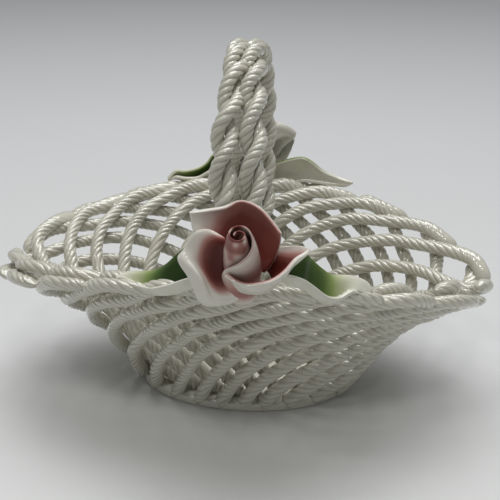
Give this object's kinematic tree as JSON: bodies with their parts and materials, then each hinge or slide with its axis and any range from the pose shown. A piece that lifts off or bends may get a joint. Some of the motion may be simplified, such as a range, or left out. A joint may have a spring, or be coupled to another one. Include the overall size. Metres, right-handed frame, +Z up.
{
  "type": "ceramic basket",
  "caption": "Glazed porcelain basket, boat-shaped open rope wall on an oval plate, twisted arched handle, with a pink rose and green leaves at each handle foot.",
  "frame": {"origin": "on the table under the middle of the base plate", "axes": "+X along the basket from tip to tip, +Y from the front rose to the back rose, +Z up"},
  "size_m": [0.2317, 0.1958, 0.1646],
  "materials": {
    "body_glaze": "glossy off-white glaze",
    "rose_glaze": "glossy glaze, dusty pink fading to white at the edges",
    "leaf_glaze": "glossy glaze, green fading to cream at the tips"
  },
  "bodies": {
    "root": {"back_leaf_left": "leaf_glaze", "back_leaf_right": "leaf_glaze", "back_rose_bud": "rose_glaze", "back_rose_petal_1": "rose_glaze", "back_rose_petal_2": "rose_glaze", "back_rose_petal_3": "rose_glaze", "base_plate": "body_glaze", "front_leaf_left": "leaf_glaze", "front_leaf_right": "leaf_glaze", "front_rose_bud": "rose_glaze", "front_rose_petal_1": "rose_glaze", "front_rose_petal_2": "rose_glaze", "front_rose_petal_3": "rose_glaze", "handle_strand_1": "body_glaze", "handle_strand_2": "body_glaze", "handle_strand_3": "body_glaze", "handle_strand_4": "body_glaze", "inner_rope_01": "body_glaze", "inner_rope_02": "body_glaze", "inner_rope_03": "body_glaze", "inner_rope_04": "body_glaze", "inner_rope_05": "body_glaze", "inner_rope_06": "body_glaze", "inner_rope_07": "body_glaze", "inner_rope_08": "body_glaze", "inner_rope_09": "body_glaze", "inner_rope_10": "body_glaze", "inner_rope_11": "body_glaze", "inner_rope_12": "body_glaze", "inner_rope_13": "body_glaze", "inner_rope_14": "body_glaze", "inner_rope_15": "body_glaze", "inner_rope_16": "body_glaze", "inner_rope_17": "body_glaze", "inner_rope_18": "body_glaze", "inner_rope_19": "body_glaze", "inner_rope_20": "body_glaze", "inner_rope_21": "body_glaze", "outer_rope_01": "body_glaze", "outer_rope_02": "body_glaze", "outer_rope_03": "body_glaze", "outer_rope_04": "body_glaze", "outer_rope_05": "body_glaze", "outer_rope_06": "body_glaze", "outer_rope_07": "body_glaze", "outer_rope_08": "body_glaze", "outer_rope_09": "body_glaze", "outer_rope_10": "body_glaze", "outer_rope_11": "body_glaze", "outer_rope_12": "body_glaze", "outer_rope_13": "body_glaze", "outer_rope_14": "body_glaze", "outer_rope_15": "body_glaze", "outer_rope_16": "body_glaze", "outer_rope_17": "body_glaze", "outer_rope_18": "body_glaze", "outer_rope_19": "body_glaze", "outer_rope_20": "body_glaze", "outer_rope_21": "body_glaze"}
  },
  "joints": []
}
